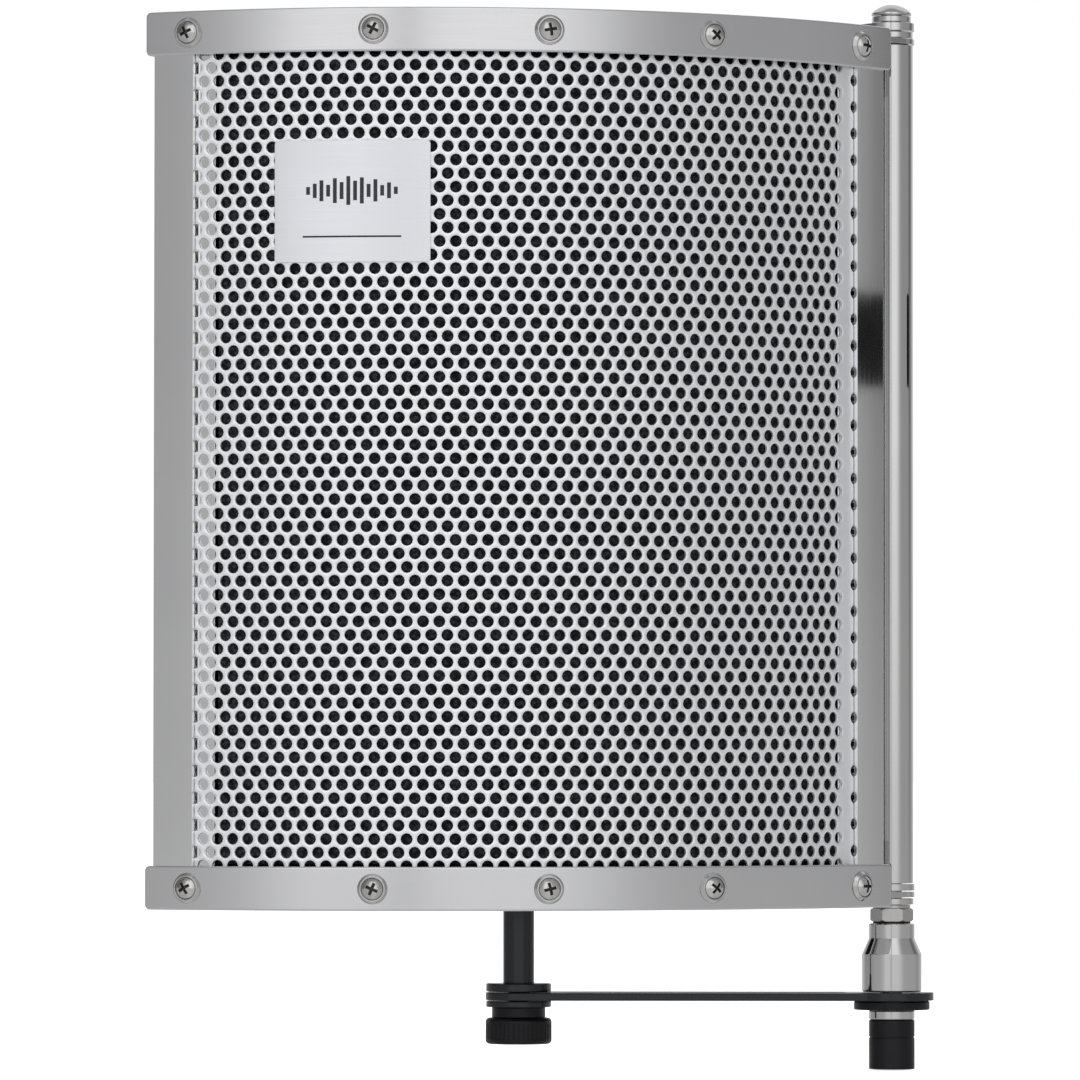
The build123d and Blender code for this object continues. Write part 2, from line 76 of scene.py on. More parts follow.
class NodeSheet:
    """A node tree with short calls for adding and joining nodes."""

    def __init__(self, tree: bpy.types.NodeTree) -> None:
        """Keeps the tree.

        Args:
            tree: The node tree to build in.
        """
        self.tree = tree

    def add(self, kind: str, **settings: object) -> bpy.types.Node:
        """Adds one node.

        Args:
            kind: The node's type name.
            **settings: Attributes to set on it.

        Returns:
            The new node.
        """
        node = self.tree.nodes.new(kind)
        for name, value in settings.items():
            setattr(node, name, value)
        return node

    def join(self, source: bpy.types.NodeSocket, target: bpy.types.NodeSocket) -> None:
        """Links one output to one input."""
        self.tree.links.new(source, target)

    def feed(self, target: bpy.types.NodeSocket, value: object) -> None:
        """Gives one input a link or a plain value.

        Args:
            target: The input.
            value: The output to link, or the value itself.
        """
        if isinstance(value, bpy.types.NodeSocket):
            self.join(value, target)
        else:
            target.default_value = value

    def group(self, tree: bpy.types.NodeTree, values: dict[str, object]) -> bpy.types.Node:
        """Places a shared group.

        Args:
            tree: The group.
            values: A number or a socket for its inputs, by name.

        Returns:
            The group's node.
        """
        node = self.add("ShaderNodeGroup", node_tree=tree)
        for name, value in values.items():
            self.feed(node.inputs[name], value)
        return node

    def coords(self, name: str = "Object") -> bpy.types.NodeSocket:
        """Adds texture coordinates of the named kind."""
        return self.add("ShaderNodeTexCoord").outputs[name]

    def math(self, operation: str, a: object, b: object) -> bpy.types.NodeSocket:
        """Adds a Math node.

        Args:
            operation: The operation's name.
            a: A number or a socket for the first input.
            b: A number or a socket for the second input.

        Returns:
            The output socket.
        """
        node = self.add("ShaderNodeMath", operation=operation)
        self.feed(node.inputs[0], a)
        self.feed(node.inputs[1], b)
        return node.outputs[0]

    def noise(self, vector: bpy.types.NodeSocket, scale: float,
              detail: float = 2.0) -> bpy.types.NodeSocket:
        """Adds a Noise Texture.

        Args:
            vector: The coordinates.
            scale: Its scale.
            detail: Its detail.

        Returns:
            The factor output.
        """
        node = self.add("ShaderNodeTexNoise")
        node.inputs["Scale"].default_value = scale
        node.inputs["Detail"].default_value = detail
        self.join(vector, node.inputs["Vector"])
        return node.outputs["Fac"]

    def stretch(self, vector: bpy.types.NodeSocket, scale: Colour) -> bpy.types.NodeSocket:
        """Stretches coordinates.

        Args:
            vector: The coordinates.
            scale: The scale along each axis.

        Returns:
            The stretched coordinates.
        """
        node = self.add("ShaderNodeMapping")
        node.inputs["Scale"].default_value = scale
        self.join(vector, node.inputs["Vector"])
        return node.outputs["Vector"]

    def remap(self, value: bpy.types.NodeSocket, low: float, high: float,
              to_low: object = 0.0, to_high: object = 1.0) -> bpy.types.NodeSocket:
        """Maps a value from one range to another, clamped.

        Args:
            value: The value.
            low: The lower end of its range.
            high: The upper end of its range.
            to_low: What the lower end becomes, a number or a socket.
            to_high: What the upper end becomes, a number or a socket.

        Returns:
            The mapped value.
        """
        node = self.add("ShaderNodeMapRange")
        self.join(value, node.inputs["Value"])
        node.inputs["From Min"].default_value = low
        node.inputs["From Max"].default_value = high
        self.feed(node.inputs["To Min"], to_low)
        self.feed(node.inputs["To Max"], to_high)
        return node.outputs["Result"]

    def mix(self, factor: bpy.types.NodeSocket, a: object, b: object) -> bpy.types.NodeSocket:
        """Mixes two colours.

        Args:
            factor: The share of the second one.
            a: The first one, a colour or a socket.
            b: The second one, a colour or a socket.

        Returns:
            The mixed colour.
        """
        node = self.add("ShaderNodeMix", data_type="RGBA")
        for name, colour in (("A", a), ("B", b)):
            self.feed(node.inputs[name], (*colour, 1.0) if isinstance(colour, tuple) else colour)
        self.join(factor, node.inputs["Factor"])
        return node.outputs["Result"]

    def bump(self, height: bpy.types.NodeSocket, strength: float, depth: float,
             edge: float = 0.0) -> bpy.types.NodeSocket:
        """Adds a bump, with slightly rounded edges where they are asked for.

        Args:
            height: The height.
            strength: How strongly it shows.
            depth: How deep the full height is.
            edge: The radius of the rounded edges; 0 for none.

        Returns:
            The normal.
        """
        node = self.add("ShaderNodeBump")
        node.inputs["Strength"].default_value = strength
        node.inputs["Distance"].default_value = depth
        if edge:
            rounded = self.add("ShaderNodeBevel", samples=4)
            rounded.inputs["Radius"].default_value = edge
            self.join(rounded.outputs["Normal"], node.inputs["Normal"])
        self.join(height, node.inputs["Height"])
        return node.outputs["Normal"]


def new_material(name: str) -> tuple[bpy.types.Material, NodeSheet, bpy.types.Node]:
    """Makes a material with a plain shader.

    Args:
        name: Its name.

    Returns:
        The material, its sheet and its shader.
    """
    mat = bpy.data.materials.new(name)
    mat.use_nodes = True
    return mat, NodeSheet(mat.node_tree), mat.node_tree.nodes["Principled BSDF"]


def new_group(name: str, inputs: dict[str, tuple[str, object]], outputs: dict[str, str]) -> tuple:
    """Makes an empty shader node group.

    Args:
        name: The group's name.
        inputs: Socket kind and default for each input name.
        outputs: Socket kind for each output name.

    Returns:
        The group, its sheet, its input node and its output node.
    """
    group = bpy.data.node_groups.new(name, "ShaderNodeTree")
    for label, (kind, value) in inputs.items():
        socket = group.interface.new_socket(label, in_out="INPUT", socket_type=kind)
        socket.default_value = value
    for label, kind in outputs.items():
        group.interface.new_socket(label, in_out="OUTPUT", socket_type=kind)
    sheet = NodeSheet(group)
    return group, sheet, sheet.add("NodeGroupInput"), sheet.add("NodeGroupOutput")


def grain_group() -> bpy.types.NodeTree:
    """Builds the metal grain: fine lines along one axis over slow patches.

    Returns:
        The group, with Roughness, Height and Tone outputs.
    """
    group, n, entry, leave = new_group(
        "metal_grain",
        {"Vector": (VECTOR, (0.0, 0.0, 0.0)), "Low": (FLOAT, 0.25), "High": (FLOAT, 0.4),
         "Patch": (FLOAT, 0.3)},
        {"Roughness": FLOAT, "Height": FLOAT, "Tone": FLOAT},
    )
    lines = n.noise(entry.outputs["Vector"], scale=1.0, detail=4.0)
    patches = n.noise(n.coords(), scale=14.0, detail=3.0)
    drift = n.math("MULTIPLY", n.math("SUBTRACT", patches, 0.5), entry.outputs["Patch"])
    ends = entry.outputs["Low"], entry.outputs["High"]
    n.join(n.remap(n.math("ADD", lines, drift), 0.25, 0.75, *ends), leave.inputs["Roughness"])
    n.join(lines, leave.inputs["Height"])
    n.join(patches, leave.inputs["Tone"])
    return group


def handling_group() -> bpy.types.NodeTree:
    """Builds handling marks: soft smudges and a few hairline scratches.

    Returns:
        The group, with Smudge and Scratch masks.
    """
    group, n, entry, leave = new_group(
        "handling_marks",
        {"Smudge Amount": (FLOAT, 0.3), "Scratch Amount": (FLOAT, 0.3)},
        {"Smudge": FLOAT, "Scratch": FLOAT},
    )
    coords = n.coords()
    smudge = n.remap(n.noise(coords, scale=22.0, detail=5.0), 0.5, 0.72)
    n.join(n.math("MULTIPLY", smudge, entry.outputs["Smudge Amount"]), leave.inputs["Smudge"])
    upright = n.noise(n.stretch(coords, (900.0, 900.0, 26.0)), scale=1.0, detail=1.0)
    level = n.noise(n.stretch(coords, (40.0, 40.0, 1100.0)), scale=1.0, detail=1.0)
    scratch = n.math("MAXIMUM", n.remap(upright, 0.74, 0.78), n.remap(level, 0.76, 0.8))
    n.join(n.math("MULTIPLY", scratch, entry.outputs["Scratch Amount"]), leave.inputs["Scratch"])
    return group


def pebble_group() -> bpy.types.NodeTree:
    """Builds the fine pebbled surface of powder coat and moulded plastic.

    Returns:
        The group, with a Height output and a Tone mask.
    """
    group, n, entry, leave = new_group(
        "pebble", {"Size": (FLOAT, 900.0)}, {"Height": FLOAT, "Tone": FLOAT}
    )
    coords = n.coords()
    cells = n.add("ShaderNodeTexVoronoi", feature="SMOOTH_F1")
    n.join(coords, cells.inputs["Vector"])
    n.join(entry.outputs["Size"], cells.inputs["Scale"])
    n.join(cells.outputs["Distance"], leave.inputs["Height"])
    n.join(n.noise(coords, scale=60.0, detail=3.0), leave.inputs["Tone"])
    return group


def pore_group() -> bpy.types.NodeTree:
    """Builds open-cell foam: small pores with paler rims and soft patches.

    Returns:
        The group, with Height and Pore outputs.
    """
    group, n, entry, leave = new_group(
        "foam_pores", {"Size": (FLOAT, 700.0)}, {"Height": FLOAT, "Pore": FLOAT}
    )
    coords = n.coords()
    cells = n.add("ShaderNodeTexVoronoi")
    n.join(coords, cells.inputs["Vector"])
    n.join(entry.outputs["Size"], cells.inputs["Scale"])
    height = n.math("ADD", cells.outputs["Distance"], n.noise(coords, scale=240.0, detail=4.0))
    n.join(height, leave.inputs["Height"])
    n.join(n.remap(cells.outputs["Distance"], 0.15, 0.7), leave.inputs["Pore"])
    return group


class Grain(Enum):
    """Which way a metal's fine lines run."""

    AROUND = (30.0, 30.0, 2600.0)
    UPRIGHT = (2200.0, 2200.0, 18.0)
    NONE = (500.0, 500.0, 500.0)


@dataclass(frozen=True)
class Metal:
    """A bare, plated or anodised metal.

    Args:
        name: The material's name.
        colour: The base colour.
        shade: The darker colour of its patches.
        rough_low: The roughness where it is smoothest.
        rough_high: The roughness where it is dullest.
        grain: Which way its lines run.
        grain_bump: How deep the lines are.
        smudge: How much handling dulls it.
        scratch: How many hairlines it has.
        metallic: How much of it is bare metal.
        edge: How far its edges look rounded; 0 for none.
        bump_depth: How deep a full bump is.
        smudge_dulls: How much rougher a full smudge is.
        scratch_dulls: How much rougher a full scratch is.
    """

    name: str
    colour: Colour
    shade: Colour
    rough_low: float
    rough_high: float
    grain: Grain = Grain.NONE
    grain_bump: float = 0.02
    smudge: float = 0.1
    scratch: float = 0.1
    metallic: float = 1.0
    edge: float = 0.35 * MM
    bump_depth: float = 0.2 * MM
    smudge_dulls: float = 0.25
    scratch_dulls: float = 0.2

    def material(self, groups: dict[str, bpy.types.NodeTree]) -> bpy.types.Material:
        """Builds the material.

        Args:
            groups: The shared node groups by name.

        Returns:
            The material.
        """
        mat, n, shader = new_material(self.name)
        shader.inputs["Metallic"].default_value = self.metallic
        grain = n.group(groups["grain"], {
            "Vector": n.stretch(n.coords(), self.grain.value),
            "Low": self.rough_low, "High": self.rough_high,
        })
        marks = n.group(groups["handling"], {
            "Smudge Amount": self.smudge, "Scratch Amount": self.scratch,
        })
        smudge = n.math("MULTIPLY", marks.outputs["Smudge"], self.smudge_dulls)
        scratch = n.math("MULTIPLY", marks.outputs["Scratch"], self.scratch_dulls)
        rough = n.math("ADD", n.math("ADD", grain.outputs["Roughness"], smudge), scratch)
        n.join(rough, shader.inputs["Roughness"])
        tone = n.remap(grain.outputs["Tone"], 0.3, 0.65)
        n.join(n.mix(tone, self.shade, self.colour), shader.inputs["Base Color"])
        normal = n.bump(grain.outputs["Height"], self.grain_bump, self.bump_depth, self.edge)
        n.join(normal, shader.inputs["Normal"])
        return mat


@dataclass(frozen=True)
class Coating:
    """A black powder coat, or a moulded black plastic.

    Args:
        name: The material's name.
        colour: The base colour.
        pale: The colour where it is rubbed.
        rough_low: The roughness where it is smoothest.
        rough_high: The roughness where it is dullest.
        pebble: How fine its texture is.
        bump: How deep its texture is.
        specular: How strong its clear reflection is.
        edge: How far its edges look rounded; 0 for none.
        bump_depth: How deep a full bump is.
        smudge: How much handling dulls it.
        scratch: How many hairlines it has.
        smudge_dulls: How much rougher a full smudge is.
        smudge_pales: How much paler a full smudge is.
    """

    name: str
    colour: Colour
    pale: Colour
    rough_low: float
    rough_high: float
    pebble: float = 900.0
    bump: float = 0.15
    specular: float = 0.5
    edge: float = 0.5 * MM
    bump_depth: float = 0.2 * MM
    smudge: float = 0.5
    scratch: float = 0.4
    smudge_dulls: float = 0.12
    smudge_pales: float = 0.4

    def material(self, groups: dict[str, bpy.types.NodeTree]) -> bpy.types.Material:
        """Builds the material.

        Args:
            groups: The shared node groups by name.

        Returns:
            The material.
        """
        mat, n, shader = new_material(self.name)
        shader.inputs["Specular IOR Level"].default_value = self.specular
        pebble = n.group(groups["pebble"], {"Size": self.pebble})
        marks = n.group(groups["handling"], {
            "Smudge Amount": self.smudge, "Scratch Amount": self.scratch,
        })
        smudge = marks.outputs["Smudge"]
        rough = n.remap(pebble.outputs["Tone"], 0.3, 0.7, self.rough_low, self.rough_high)
        rough = n.math("ADD", rough, n.math("MULTIPLY", smudge, self.smudge_dulls))
        n.join(rough, shader.inputs["Roughness"])
        worn = n.math("ADD", n.math("MULTIPLY", smudge, self.smudge_pales), marks.outputs["Scratch"])
        n.join(n.mix(worn, self.colour, self.pale), shader.inputs["Base Color"])
        normal = n.bump(pebble.outputs["Height"], self.bump, self.bump_depth, self.edge)
        n.join(normal, shader.inputs["Normal"])
        return mat


@dataclass(frozen=True)
class Foam:
    """Charcoal open-cell acoustic foam.

    Args:
        name: The material's name.
        deep: The colour inside the pores.
        rim: The colour of the cell walls.
        rough: The roughness of the cell walls and inside the pores.
        specular: How strong its clear reflection is.
        bump: How strongly the pores show.
        bump_depth: How deep a full bump is.
    """

    name: str
    deep: Colour
    rim: Colour
    rough: tuple[float, float] = (0.82, 0.98)
    specular: float = 0.2
    bump: float = 0.8
    bump_depth: float = 0.6 * MM

    def material(self, groups: dict[str, bpy.types.NodeTree]) -> bpy.types.Material:
        """Builds the material.

        Args:
            groups: The shared node groups by name.

        Returns:
            The material.
        """
        mat, n, shader = new_material(self.name)
        shader.inputs["Specular IOR Level"].default_value = self.specular
        pores = n.group(groups["pores"], {})
        pore = pores.outputs["Pore"]
        n.join(n.mix(pore, self.rim, self.deep), shader.inputs["Base Color"])
        n.join(n.remap(pore, 0.0, 1.0, *self.rough), shader.inputs["Roughness"])
        normal = n.bump(pores.outputs["Height"], self.bump, self.bump_depth)
        n.join(normal, shader.inputs["Normal"])
        return mat


@dataclass
class Finishes:
    """Every finish of the shield and its studio, built once and looked up by name."""

    rail: Metal = Metal(
        "satin_rail", (0.80, 0.80, 0.81), (0.77, 0.77, 0.78), 0.18, 0.25, Grain.AROUND, 0.012)
    bar: Metal = Metal(
        "polished_bar", (0.91, 0.91, 0.91), (0.87, 0.87, 0.88), 0.05, 0.11, Grain.UPRIGHT, 0.02)
    sheet: Metal = Metal(
        "perforated_metal", (0.96, 0.97, 0.995), (0.92, 0.93, 0.96), 0.34, 0.43, grain_bump=0.04,
        metallic=0.76, edge=0.0)
    label: Metal = Metal(
        "brushed_label", (0.94, 0.96, 0.99), (0.92, 0.94, 0.975), 0.26, 0.34, Grain.AROUND, 0.04)
    zinc: Metal = Metal("zinc_plate", (0.58, 0.58, 0.6), (0.5, 0.5, 0.52), 0.3, 0.45)
    nickel: Metal = Metal("bright_nickel", (0.74, 0.73, 0.72), (0.66, 0.66, 0.65), 0.12, 0.22)
    satin_nickel: Metal = Metal("satin_nickel", (0.62, 0.61, 0.59), (0.55, 0.54, 0.52), 0.2, 0.3)
    chrome: Metal = Metal(
        "chrome_plate", (0.70, 0.70, 0.69), (0.66, 0.66, 0.66), 0.02, 0.06, grain_bump=0.0)
    steel: Coating = Coating(
        "black_powder_coat", (0.004, 0.005, 0.009), (0.02, 0.022, 0.028), 0.13, 0.22, bump=0.05,
        specular=0.6)
    plastic: Coating = Coating(
        "black_plastic", (0.004, 0.004, 0.006), (0.014, 0.014, 0.017), 0.3, 0.44, 1300.0, 0.2, 0.32)
    foam: Foam = Foam("acoustic_foam", (0.006, 0.0065, 0.008), (0.034, 0.036, 0.042))
    ink: Coating = Coating(
        "label_ink", (0.02, 0.02, 0.024), (0.05, 0.05, 0.055), 0.4, 0.5, 1500.0, 0.05, edge=0.0)
    # Painted shade: a dark, dull colour for the faces inside the screws' cross recesses, where shade
    # falls.
    recess: Coating = Coating(
        "screw_recess", (0.03, 0.03, 0.03), (0.05, 0.05, 0.05), 0.5, 0.7, 900.0, 0.1, edge=0.0)
    cloth: Coating = Coating(
        "flag_cloth", (0.004, 0.004, 0.004), (0.008, 0.008, 0.008), 0.9, 1.0, 400.0, 0.3)
    made: dict[str, bpy.types.Material] = field(default_factory=dict)

    def build(self) -> None:
        """Builds the node groups and every material."""
        groups = {
            "grain": grain_group(),
            "handling": handling_group(),
            "pebble": pebble_group(),
            "pores": pore_group(),
        }
        for name, finish in vars(self).items():
            if name != "made":
                self.made[name] = finish.material(groups)
        log.info("finishes: %d", len(self.made))

    def __getitem__(self, name: str) -> bpy.types.Material:
        """Looks up a built material."""
        return self.made[name]


# ------------------------------------------------------------------ mesh helpers
def mesh_piece(name: str, mesh_data: bmesh.types.BMesh, material: bpy.types.Material,
               smooth_degrees: float = 35.0) -> bpy.types.Object:
    """Turns a bmesh into a shown piece.

    Args:
        name: The piece's name.
        mesh_data: The finished bmesh, which is freed.
        material: Its material.
        smooth_degrees: Edges sharper than this stay sharp.

    Returns:
        The object.
    """
    bmesh.ops.recalc_face_normals(mesh_data, faces=mesh_data.faces)
    limit = math.radians(smooth_degrees)
    for face in mesh_data.faces:
        face.smooth = True
    for edge in mesh_data.edges:
        if len(edge.link_faces) == 2 and edge.calc_face_angle() > limit:
            edge.smooth = False
    mesh = bpy.data.meshes.new(name)
    mesh_data.to_mesh(mesh)
    mesh_data.free()
    mesh.materials.append(material)
    piece = bpy.data.objects.new(name, mesh)
    bpy.context.collection.objects.link(piece)
    return piece


def dress(node: str, material: bpy.types.Material) -> None:
    """Gives a CAD node that stays its material."""
    target = frame["nodes"][node]
    for holder in [target, *target.children_recursive]:
        for index in range(len(holder.material_slots)):
            holder.material_slots[index].material = material


@dataclass
class LeafArc:
    """The plan of one leaf, as an arc about its own upright axis.

    Args:
        side: -1 for the front leaf and 1 for the rear leaf.
        centre_x: The arc's centre along X.
        centre_y: How far the arc's centre lies beyond the post's axis plane.
        mid_degrees: The angle of the leaf's middle from its outward axis.
    """

    side: int
    centre_x: float = -182.4 * MM
    centre_y: float = 111.7 * MM
    mid_degrees: float = 12.5

    def point(self, radius: float, degrees: float, z: float) -> Vector:
        """Finds a point of the leaf.

        Args:
            radius: The distance from the arc's axis.
            degrees: The angle from the leaf's middle, positive towards the post.
            z: The height.

        Returns:
            The point in the row frame.
        """
        angle = math.radians(self.mid_degrees + degrees)
        y = self.centre_y - radius * math.cos(angle)
        return Vector((self.centre_x + radius * math.sin(angle), y * -self.side, z))


# ------------------------------------------------------------------ perforated sheet
@dataclass
class PerforatedSheet:
    """A thin curved sheet with staggered round holes, rolled from a flat blank.

    Args:
        arc: The leaf's plan.
        node: The CAD node that it stands for.
        body: The body that it rides on.
    """

    arc: LeafArc
    node: str
    body: str
    outer_radius: float = 222.2 * MM
    thickness: float = 1.2 * MM
    half_width: float = 141.6 * MM
    pitch: float = 6.184 * MM
    row_step: float = 5.174 * MM
    hole_radius: float = 2.3 * MM
    edge_round: float = 0.08 * MM
    middle_u: float = 0.4 * MM
    middle_z: float = 236.17 * MM
    plain_span: tuple[float, float] = (132.0 * MM, 138.0 * MM)
    segments: int = 12
    weld: float = 0.02 * MM
    smooth_degrees: float = 50.0

    def build(self, finishes: Finishes) -> bpy.types.Object:
        """Builds the flat blank cell by cell, trims it and rolls it.

        Args:
            finishes: The finishes.

        Returns:
            The piece.
        """
        low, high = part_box(self.node)
        shape = bmesh.new()
        rows = int((high[2] - self.middle_z) / self.row_step) + 2
        columns = int(self.half_width / self.pitch) + 2
        for row in range(-rows, rows + 1):
            shift = self.pitch / 2 if row % 2 else 0.0
            z = self.middle_z + row * self.row_step
            for column in range(-columns, columns + 1):
                u = self.middle_u + column * self.pitch + shift
                if self.plain_span[0] < u < self.plain_span[1]:
                    self.plain_cell(shape, u, z)
                else:
                    self.cell(shape, u, z)
        bmesh.ops.remove_doubles(shape, verts=shape.verts, dist=self.weld)
        self.trim(shape, low[2], high[2])
        for vertex in shape.verts:
            u, depth, z = vertex.co
            radius = self.outer_radius - depth
            vertex.co = self.arc.point(radius, math.degrees(u / self.outer_radius), z)
        piece = mesh_piece(self.node + "_punched", shape, finishes["sheet"], self.smooth_degrees)
        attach(piece, self.body)
        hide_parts(self.node)
        return piece

    def outline(self) -> list[tuple[float, float]]:
        """Lists a cell's corners and edge middles, from its top corner round.

        Returns:
            Twelve points about the cell's centre.
        """
        half = self.pitch / 2
        tall = (self.row_step**2 + half**2) / (2 * self.row_step)
        short = self.row_step - tall
        corners = [(0, tall), (half, short), (half, -short), (0, -tall), (-half, -short), (-half, short)]
        points = []
        for index, corner in enumerate(corners):
            after = corners[(index + 1) % len(corners)]
            points.append(corner)
            points.append(((corner[0] + after[0]) / 2, (corner[1] + after[1]) / 2))
        return points

    def plain_cell(self, shape: bmesh.types.BMesh, u: float, z: float) -> None:
        """Adds one cell without a hole, for the margin that the hinge bar's lip backs.

        Args:
            shape: The bmesh, in flat coordinates: along, depth and height.
            u: The cell's place along the sheet.
            z: The cell's height.
        """
        border = self.outline()
        for depth in (0.0, self.thickness):
            shape.faces.new([shape.verts.new((u + x, depth, z + y)) for x, y in border])

    def cell(self, shape: bmesh.types.BMesh, u: float, z: float) -> None:
        """Adds one cell of sheet, both faces and the wall of its hole.

        Args:
            shape: The bmesh, in flat coordinates: along, depth and height.
            u: Where the hole is along the sheet.
            z: The hole's height.
        """
        border = self.outline()
        circle = []
        for index in range(self.segments):
            turn = math.pi / 2 - 2 * math.pi * index / self.segments
            circle.append((math.cos(turn), math.sin(turn)))
        wide = self.hole_radius + self.edge_round
        rings = [
            [(u + x, 0.0, z + y) for x, y in border],
            [(u + wide * x, 0.0, z + wide * y) for x, y in circle],
            [(u + self.hole_radius * x, self.edge_round, z + self.hole_radius * y) for x, y in circle],
            [(u + self.hole_radius * x, self.thickness, z + self.hole_radius * y) for x, y in circle],
            [(u + x, self.thickness, z + y) for x, y in border],
        ]
        verts = [[shape.verts.new(point) for point in ring] for ring in rings]
        for inner, outer in zip(verts[1:], verts[:-1]):
            for index in range(self.segments):
                after = (index + 1) % self.segments
                shape.faces.new((outer[index], outer[after], inner[after], inner[index]))

    def trim(self, shape: bmesh.types.BMesh, low: float, high: float) -> None:
        """Cuts the blank to size and closes its cut edges.

        Args:
            shape: The flat blank.
            low: The lowest height that stays.
            high: The highest height that stays.
        """
        cuts = [
            ((self.half_width, 0, 0), (1, 0, 0)),
            ((-self.half_width, 0, 0), (-1, 0, 0)),
            ((0, 0, high), (0, 0, 1)),
            ((0, 0, low), (0, 0, -1)),
        ]
        for point, normal in cuts:
            geometry = [*shape.verts, *shape.edges, *shape.faces]
            bmesh.ops.bisect_plane(shape, geom=geometry, plane_co=point, plane_no=normal, clear_outer=True)
            rim = [edge for edge in shape.edges if len(edge.link_faces) == 1]
            bmesh.ops.holes_fill(shape, edges=rim, sides=0)


# ------------------------------------------------------------------ foam
@dataclass
class FoamPad:
    """A foam liner with a face of soft pyramids, in the curve of its leaf.

    Args:
        arc: The leaf's plan.
        node: The CAD node that it stands for.
        body: The body that it rides on.
    """

    arc: LeafArc
    node: str
    body: str
    tip_radius: float = 192.0 * MM
    valley_radius: float = 201.5 * MM
    slab_radii: tuple[float, float] = (203.9 * MM, 216.0 * MM)
    core_back: float = 220.5 * MM
    core_degrees: float = 33.5
    slab_degrees: float = 37.2
    face_degrees: float = 35.6
    rail_inset: float = 17.8 * MM
    across: int = 9
    upright: int = 12
    steps: int = 8
    flat_across: int = 24
    flat_upright: int = 2
    shoulder: float = 0.86
    tip_slope: float = 0.35
    tip_share: float = 0.91
    smooth_degrees: float = 60.0

    def build(self, finishes: Finishes) -> bpy.types.Object:
        """Builds the slab, the core behind the sheet and the pyramid face.

        Args:
            finishes: The finishes.

        Returns:
            The piece.
        """
        rail_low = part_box(self.node.replace("foam_pad", "bottom_rail"))[0][2]
        rail_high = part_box(self.node.replace("foam_pad", "top_rail"))[1][2]
        low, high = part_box(self.node)
        core = (rail_low + self.rail_inset, rail_high - self.rail_inset)
        shape = bmesh.new()
        slab = (low[2], high[2])
        front, back = self.slab_radii
        self.block(shape, front, back, self.slab_degrees, slab, flat=True)
        self.block(shape, back - MM, self.core_back, self.core_degrees, core, flat=True)
        self.block(shape, self.valley_radius, front + MM, self.face_degrees, core, flat=False)
        piece = mesh_piece(self.node + "_pyramids", shape, finishes["foam"], self.smooth_degrees)
        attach(piece, self.body)
        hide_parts(self.node)
        return piece

    def inner_radius(self, s: float, t: float) -> float:
        """Finds how far in the foam's face reaches.

        Args:
            s: The place across, in pyramids.
            t: The place upright, in pyramids.

        Returns:
            The radius of the face there.
        """
        off = max(abs(s % 1.0 - 0.5), abs(t % 1.0 - 0.5)) * 2
        rise = 1.0 - off
        if rise >= self.shoulder:
            rise = self.shoulder + (rise - self.shoulder) * self.tip_slope
        return self.valley_radius - (self.valley_radius - self.tip_radius) * rise / self.tip_share

    def block(self, shape: bmesh.types.BMesh, r_in: float, r_out: float, half: float,
              span: tuple[float, float], flat: bool) -> None:
        """Adds one closed block, with a flat or a pyramid inner face.

        Args:
            shape: The bmesh to add to.
            r_in: The inner radius, or the valleys' radius.
            r_out: The outer radius.
            half: Its half angle in degrees.
            span: Its lowest and highest z.
            flat: Whether the inner face is plain.
        """
        wide = self.flat_across if flat else self.across * self.steps
        tall = self.flat_upright if flat else self.upright * self.steps
        layers = []
        for outer in (False, True):
            layer = []
            for row in range(tall + 1):
                z = span[0] + (span[1] - span[0]) * row / tall
                line = []
                for column in range(wide + 1):
                    degrees = -half + 2 * half * column / wide
                    radius = r_out if outer else r_in
                    if not outer and not flat:
                        radius = self.inner_radius(column / self.steps, row / self.steps)
                    line.append(shape.verts.new(self.arc.point(radius, degrees, z)))
                layer.append(line)
            layers.append(layer)
        inner, outer = layers
        for layer in layers:
            for row in range(tall):
                for column in range(wide):
                    corners = (layer[row][column], layer[row][column + 1],
                               layer[row + 1][column + 1], layer[row + 1][column])
                    shape.faces.new(corners)
        for row in range(tall):
            for column in (0, wide):
                shape.faces.new((inner[row][column], outer[row][column],
                                 outer[row + 1][column], inner[row + 1][column]))
        for row in (0, tall):
            for column in range(wide):
                shape.faces.new((inner[row][column], outer[row][column],
                                 outer[row][column + 1], inner[row][column + 1]))


